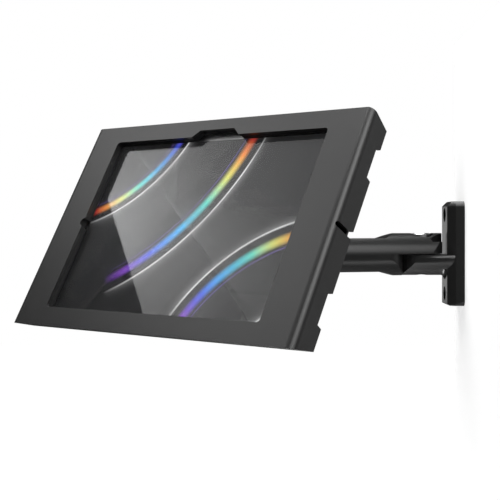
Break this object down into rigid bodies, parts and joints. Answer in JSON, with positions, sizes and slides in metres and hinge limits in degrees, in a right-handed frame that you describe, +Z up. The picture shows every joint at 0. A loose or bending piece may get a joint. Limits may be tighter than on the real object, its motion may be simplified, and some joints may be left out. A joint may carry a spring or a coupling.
{
  "type": "tablet wall mount",
  "caption": "Wall mount with a lapped swinging arm and a tilting head that carries a locked metal enclosure around a tablet.",
  "frame": {"origin": "middle of the wall plate's back face, on the wall", "axes": "+Y into the wall, +Z up, +X to the right for someone who faces the wall"},
  "size_m": [0.2758, 0.3825, 0.172],
  "materials": {
    "black_coat": "fine matt powder coat, near black",
    "charcoal_coat": "fine matt powder coat, charcoal",
    "bright_steel": "polished",
    "plated_steel": "zinc plated",
    "bearing_plastic": "smooth, self-lubricating",
    "gasket_rubber": "soft foam rubber",
    "tablet_metal": "anodised, satin",
    "tablet_glass": "polished",
    "screen_panel": "lit panel with a plain light pattern"
  },
  "bodies": {
    "wall": {"wall_plate": "black_coat", "wall_pivot_bolt": "bright_steel", "wall_pivot_nut": "bright_steel", "wall_pivot_washer": "bearing_plastic"},
    "arm": {"swing_arm": "black_coat"},
    "head": {"head_yoke": "black_coat", "head_pivot_bolt": "bright_steel", "head_pivot_nut": "bright_steel", "head_pivot_washer": "bearing_plastic", "tilt_bolt": "plated_steel", "tilt_nut": "plated_steel", "tilt_washers": "bearing_plastic"},
    "enclosure": {"tilt_bracket": "black_coat", "bracket_bolts": "plated_steel", "bracket_nuts": "plated_steel", "rear_casing": "charcoal_coat", "casing_screws": "plated_steel", "corner_posts": "plated_steel", "front_bezel": "charcoal_coat", "window_gasket": "gasket_rubber", "tablet_shell": "tablet_metal", "tablet_glass": "tablet_glass", "tablet_screen": "screen_panel", "rear_cushions": "gasket_rubber"}
  },
  "joints": [
    {"name": "wall_swing", "type": "hinge", "parent": "wall", "child": "arm", "pos_m": [0, -0.0351, 0], "axis": [0, 0, 1], "range_deg": [-67, 33]},
    {"name": "head_pan", "type": "hinge", "parent": "arm", "child": "head", "pos_m": [0.04503, -0.18237, 0], "axis": [0, 0, 1], "range_deg": [-93, 27]},
    {"name": "head_tilt", "type": "hinge", "parent": "head", "child": "enclosure", "pos_m": [0.07567, -0.20808, 0], "axis": [0.6428, 0.766, 0], "range_deg": [-25, 40]}
  ]
}
